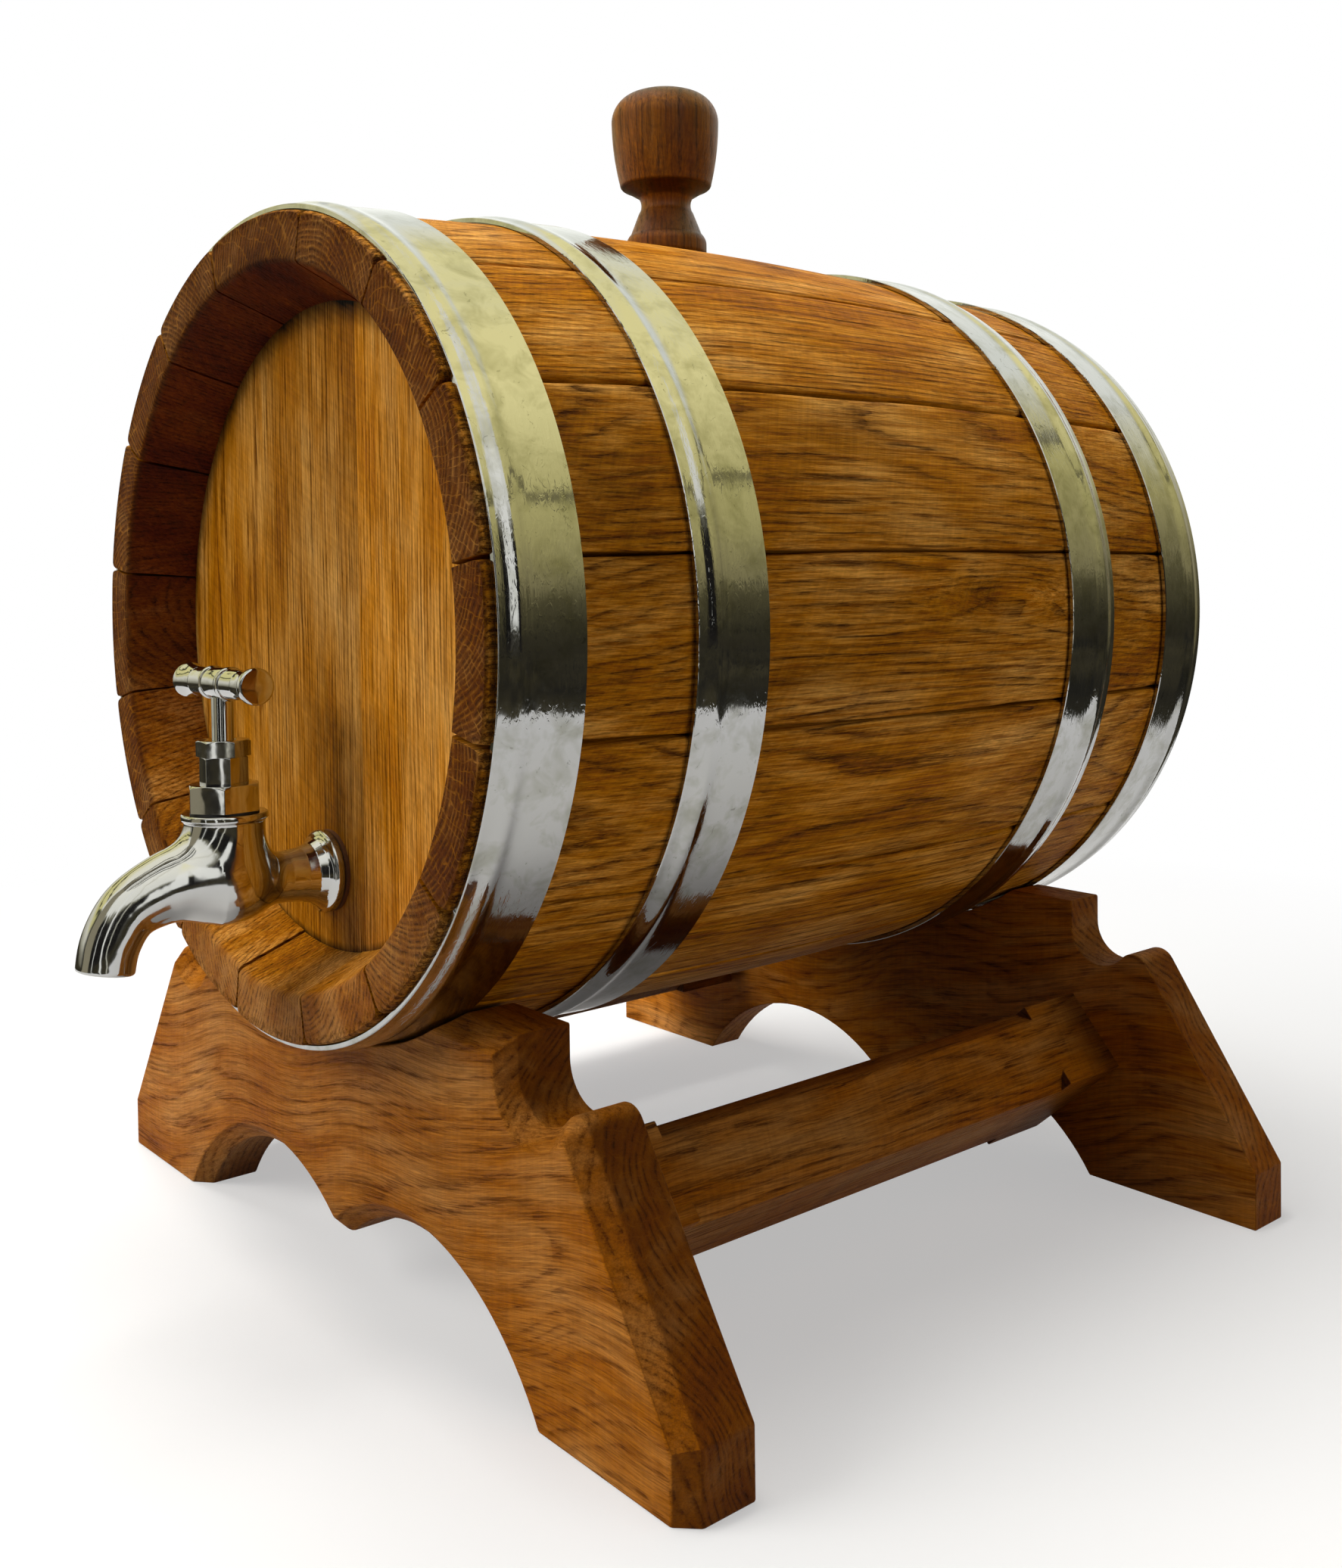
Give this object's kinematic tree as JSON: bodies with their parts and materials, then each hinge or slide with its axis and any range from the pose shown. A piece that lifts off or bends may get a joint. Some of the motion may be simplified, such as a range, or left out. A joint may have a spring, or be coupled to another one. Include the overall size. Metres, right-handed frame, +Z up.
{
  "type": "oak cask dispenser",
  "caption": "Small bilged oak cask on a two-board cradle, with steel hoops, a turned bung and a screw-down cross-handled tap in its front head.",
  "frame": {"origin": "middle of the ground the dispenser covers, on the surface its feet stand on", "axes": "+Z up, -Y the way the tap points, X across the two feet of a cradle board"},
  "size_m": [0.282, 0.3076, 0.3314],
  "materials": {
    "stave_oak": "planed and lightly oiled oak, straight grain along the cask",
    "head_oak": "planed and lightly oiled oak, upright grain",
    "cradle_oak": "oiled oak with rough end grain",
    "bung_oak": "turned oak, darker and waxed",
    "dowel_wood": "plain dowel",
    "hoop_steel": "bright galvanised steel strip, lightly brushed round the cask",
    "tap_chrome": "polished chrome plate",
    "valve_brass": "turned brass",
    "seal_rubber": "soft seal"
  },
  "bodies": {
    "cradle": {"front_cradle_board": "cradle_oak", "rear_cradle_board": "cradle_oak", "right_stretcher": "cradle_oak", "left_stretcher": "cradle_oak", "stretcher_pegs": "dowel_wood"},
    "cask": {"stave_01": "stave_oak", "stave_02": "stave_oak", "stave_03": "stave_oak", "stave_04": "stave_oak", "stave_05": "stave_oak", "stave_06": "stave_oak", "stave_07": "stave_oak", "stave_08": "stave_oak", "stave_09": "stave_oak", "stave_10": "stave_oak", "stave_11": "stave_oak", "stave_12": "stave_oak", "stave_13": "stave_oak", "stave_14": "stave_oak", "stave_15": "stave_oak", "stave_16": "stave_oak", "front_chime_hoop": "hoop_steel", "front_quarter_hoop": "hoop_steel", "rear_chime_hoop": "hoop_steel", "rear_quarter_hoop": "hoop_steel", "hoop_rivets": "hoop_steel", "front_head_left": "head_oak", "front_head_middle": "head_oak", "front_head_right": "head_oak", "rear_head_left": "head_oak", "rear_head_middle": "head_oak", "rear_head_right": "head_oak", "head_dowels": "dowel_wood", "tap_body": "tap_chrome", "tail_gasket": "seal_rubber", "bonnet_gasket": "seal_rubber", "bonnet": "tap_chrome", "gland_nut": "tap_chrome", "gland_packing": "seal_rubber"},
    "bung": {"bung": "bung_oak"},
    "jumper": {"jumper_valve": "valve_brass", "seat_washer": "seal_rubber", "jumper_nut": "valve_brass"},
    "spindle": {"spindle": "tap_chrome", "handle_bar": "tap_chrome", "handle_cap_left": "tap_chrome", "handle_cap_right": "tap_chrome"}
  },
  "joints": [
    {"name": "cask_lift", "type": "slide", "parent": "cradle", "child": "cask", "axis": [0, 0, 1], "range_m": [0, 0.12]},
    {"name": "bung_lift", "type": "slide", "parent": "cask", "child": "bung", "axis": [0, 0, 1], "range_m": [0, 0.06]},
    {"name": "valve_lift", "type": "slide", "parent": "cask", "child": "jumper", "axis": [0, 0, 1], "range_m": [0, 0.003]},
    {"name": "handle_turn", "type": "hinge", "parent": "jumper", "child": "spindle", "pos_m": [0, -0.1167, 0.159], "axis": [0, 0, 1], "range_deg": [0, 540]}
  ],
  "couplings": [
    {"joint": "valve_lift", "follows": "handle_turn", "m_per_rad": 0.000318}
  ]
}
